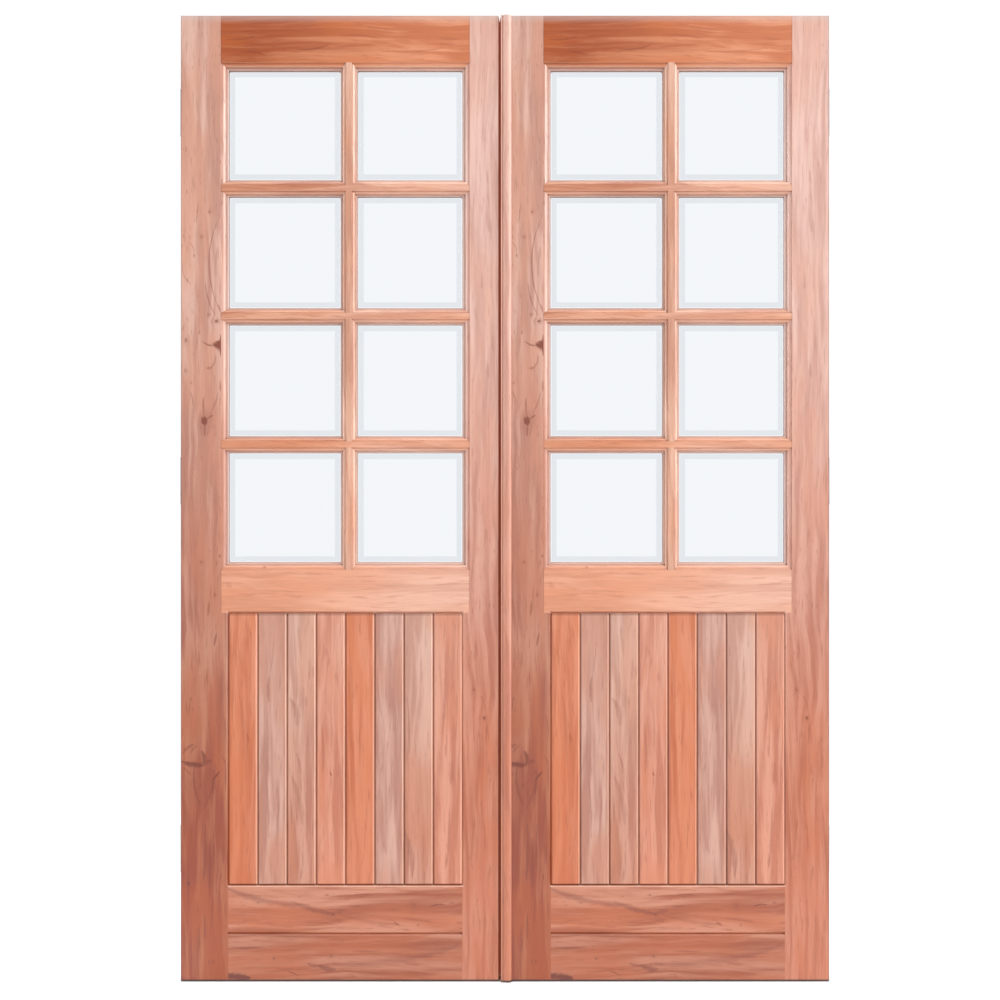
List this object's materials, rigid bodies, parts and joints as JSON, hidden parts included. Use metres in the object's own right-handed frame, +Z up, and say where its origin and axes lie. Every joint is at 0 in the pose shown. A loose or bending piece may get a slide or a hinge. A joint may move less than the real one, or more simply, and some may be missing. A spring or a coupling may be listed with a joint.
{
  "type": "part-glazed double door",
  "caption": "Pair of timber door leaves with bevelled panes in moulded bars over a boarded panel, hung on butt hinges, with a cover strip at the meeting edges.",
  "frame": {"origin": "bottom centre of the pair: at the foot, midway between the two outer edges, and midway in depth between the cover strip and the hinge knuckles", "axes": "+X to the right as seen from the front face, +Y from the front face to the back, +Z up"},
  "size_m": [1.3774, 0.0594, 2.032],
  "materials": {
    "stile_wood": "planed softwood, clear satin",
    "top_rail_wood": "planed softwood, clear satin",
    "middle_rail_wood": "planed softwood, clear satin",
    "bottom_rail_wood": "planed softwood, clear satin",
    "bar_wood": "planed softwood, clear satin",
    "bead_wood": "planed softwood, clear satin",
    "board_wood_1": "planed softwood, clear satin",
    "board_wood_2": "planed softwood, clear satin",
    "board_wood_3": "planed softwood, clear satin",
    "board_wood_4": "planed softwood, clear satin",
    "pane_glass": "clear polished glass with a ground bevel",
    "hinge_steel": "satin zinc-plated steel",
    "screw_steel": "bright zinc-plated steel"
  },
  "bodies": {
    "jamb_hardware": {"left_jamb_plates": "hinge_steel", "left_hinge_pins": "hinge_steel", "right_jamb_plates": "hinge_steel", "right_hinge_pins": "hinge_steel"},
    "left_leaf": {"left_hinge_stile": "stile_wood", "left_meeting_stile": "stile_wood", "left_top_rail": "top_rail_wood", "left_middle_rail": "middle_rail_wood", "left_upper_bottom_rail": "bottom_rail_wood", "left_lower_bottom_rail": "bottom_rail_wood", "left_upright_bar": "bar_wood", "left_cross_bars": "bar_wood", "left_glazing_beads": "bead_wood", "left_hinge_plates": "hinge_steel", "left_hinge_screws": "screw_steel", "left_pane_1": "pane_glass", "left_pane_2": "pane_glass", "left_pane_3": "pane_glass", "left_pane_4": "pane_glass", "left_pane_5": "pane_glass", "left_pane_6": "pane_glass", "left_pane_7": "pane_glass", "left_pane_8": "pane_glass", "left_board_1": "board_wood_1", "left_board_2": "board_wood_2", "left_board_3": "board_wood_3", "left_board_4": "board_wood_4", "left_board_5": "board_wood_1", "left_board_6": "board_wood_2", "left_board_7": "board_wood_3", "left_board_8": "board_wood_4"},
    "right_leaf": {"right_hinge_stile": "stile_wood", "right_meeting_stile": "stile_wood", "right_top_rail": "top_rail_wood", "right_middle_rail": "middle_rail_wood", "right_upper_bottom_rail": "bottom_rail_wood", "right_lower_bottom_rail": "bottom_rail_wood", "right_upright_bar": "bar_wood", "right_cross_bars": "bar_wood", "right_glazing_beads": "bead_wood", "right_hinge_plates": "hinge_steel", "right_hinge_screws": "screw_steel", "right_pane_1": "pane_glass", "right_pane_2": "pane_glass", "right_pane_3": "pane_glass", "right_pane_4": "pane_glass", "right_pane_5": "pane_glass", "right_pane_6": "pane_glass", "right_pane_7": "pane_glass", "right_pane_8": "pane_glass", "right_board_1": "board_wood_1", "right_board_2": "board_wood_2", "right_board_3": "board_wood_3", "right_board_4": "board_wood_4", "right_board_5": "board_wood_1", "right_board_6": "board_wood_2", "right_board_7": "board_wood_3", "right_board_8": "board_wood_4", "right_cover_strip": "stile_wood"}
  },
  "joints": [
    {"name": "left_leaf_swing", "type": "hinge", "parent": "jamb_hardware", "child": "left_leaf", "pos_m": [-0.68321, 0.0242, 1], "axis": [0, 0, 1], "range_deg": [0, 110]},
    {"name": "right_leaf_swing", "type": "hinge", "parent": "jamb_hardware", "child": "right_leaf", "pos_m": [0.68321, 0.0242, 1], "axis": [0, 0, -1], "range_deg": [0, 110]}
  ]
}
